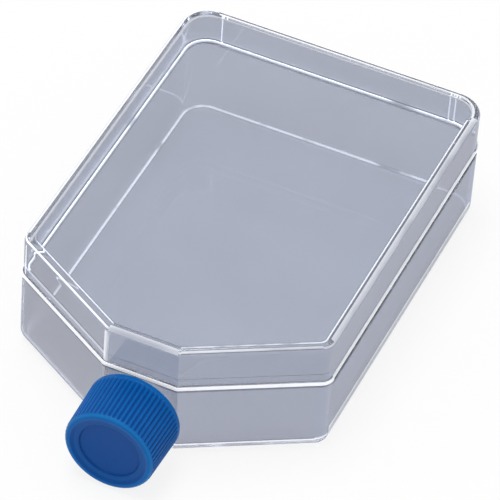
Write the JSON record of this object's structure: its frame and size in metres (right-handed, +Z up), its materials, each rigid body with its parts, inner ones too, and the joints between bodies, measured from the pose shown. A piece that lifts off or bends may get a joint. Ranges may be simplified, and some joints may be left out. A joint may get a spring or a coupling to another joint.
{
  "type": "cell culture flask",
  "caption": "Clear flat-sided cell culture flask with slanted shoulders, a welded lid, and a short neck closed by a ribbed screw cap.",
  "frame": {"origin": "on the ground under the centre of the whole object, the neck and cap included", "axes": "+Z up from the growth floor, -Y out along the neck and cap, +X to the right seen from the cap"},
  "size_m": [0.085, 0.1386, 0.0354],
  "materials": {
    "clear_tray": "clear polystyrene, polished, faint grey-blue",
    "clear_lid": "clear polystyrene, polished, faint grey-blue",
    "cap_plastic": "blue polyethylene, satin",
    "liner_foam": "pale soft foam, matt"
  },
  "bodies": {
    "flask": {"tray": "clear_tray", "lid": "clear_lid"},
    "liner": {"seal_liner": "liner_foam"},
    "cap": {"cap": "cap_plastic"}
  },
  "joints": [
    {"name": "cap_advance", "type": "slide", "parent": "flask", "child": "liner", "axis": [0, -1, 0], "range_m": [0, 0.006]},
    {"name": "cap_turn", "type": "hinge", "parent": "liner", "child": "cap", "pos_m": [0, -0.06, 0.0126], "axis": [0, -1, 0], "range_deg": [0, 720]}
  ],
  "couplings": [
    {"joint": "cap_turn", "follows": "cap_advance", "rad_per_m": 2094.4}
  ]
}
